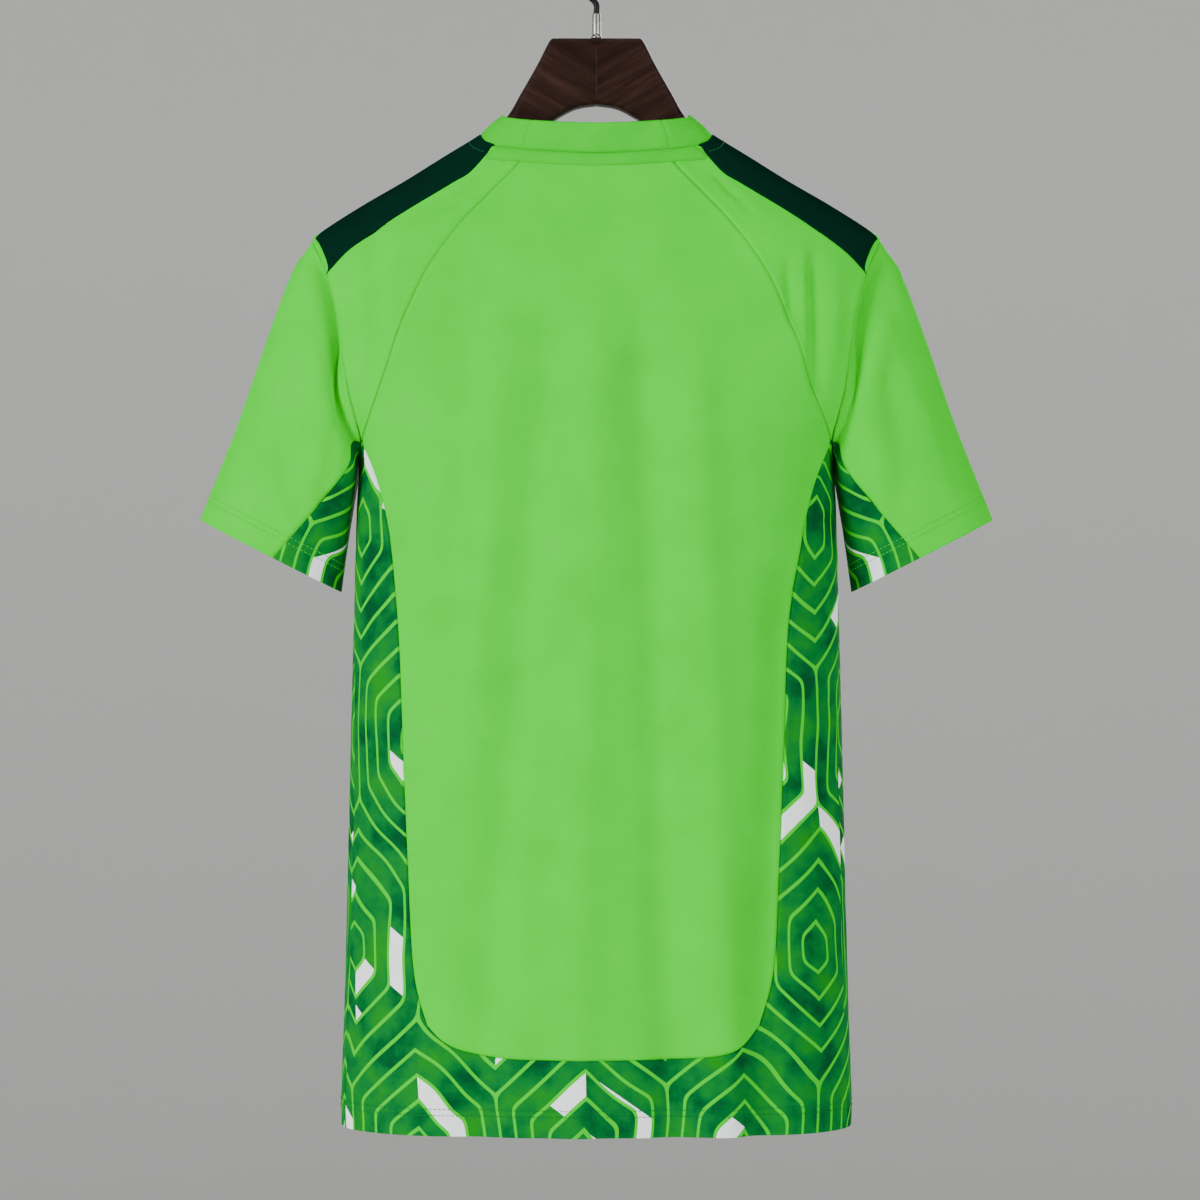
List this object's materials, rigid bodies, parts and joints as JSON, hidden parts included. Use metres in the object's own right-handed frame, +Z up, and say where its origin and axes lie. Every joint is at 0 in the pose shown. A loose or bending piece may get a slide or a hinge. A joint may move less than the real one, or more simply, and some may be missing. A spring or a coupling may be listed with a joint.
{
  "type": "football jersey on a hanger",
  "caption": "Short-sleeved football jersey with raglan shoulders and a rib collar, hung open and hollow on a wooden hanger with a wire hook",
  "frame": {"origin": "top of the inside of the hook, on its middle plane, where a rail carries the hanger", "axes": "+Z up, -Y out of the jersey's back, +X to the right as its back is seen"},
  "size_m": [0.5818, 0.1755, 0.8724],
  "materials": {
    "body_knit": "bright green polyester knit with a slight sheen",
    "printed_knit": "dark green polyester knit with a light line print",
    "band_knit": "very dark green knit",
    "collar_rib": "green rib knit",
    "hanger_wood": "dark stained, satin lacquer",
    "ferrule_metal": "polished",
    "hook_metal": "black"
  },
  "bodies": {
    "root": {"back_panel": "body_knit", "back_surround": "printed_knit", "front_panel": "body_knit", "front_surround": "printed_knit", "shoulder_left": "body_knit", "shoulder_band_left": "band_knit", "sleeve_left": "body_knit", "underarm_left": "printed_knit", "shoulder_right": "body_knit", "shoulder_band_right": "band_knit", "sleeve_right": "body_knit", "underarm_right": "printed_knit", "collar_back": "collar_rib", "collar_front": "collar_rib", "neck_tape": "collar_rib", "hanger_left": "hanger_wood", "hanger_right": "hanger_wood", "ferrule": "ferrule_metal", "hook": "hook_metal"}
  },
  "joints": []
}
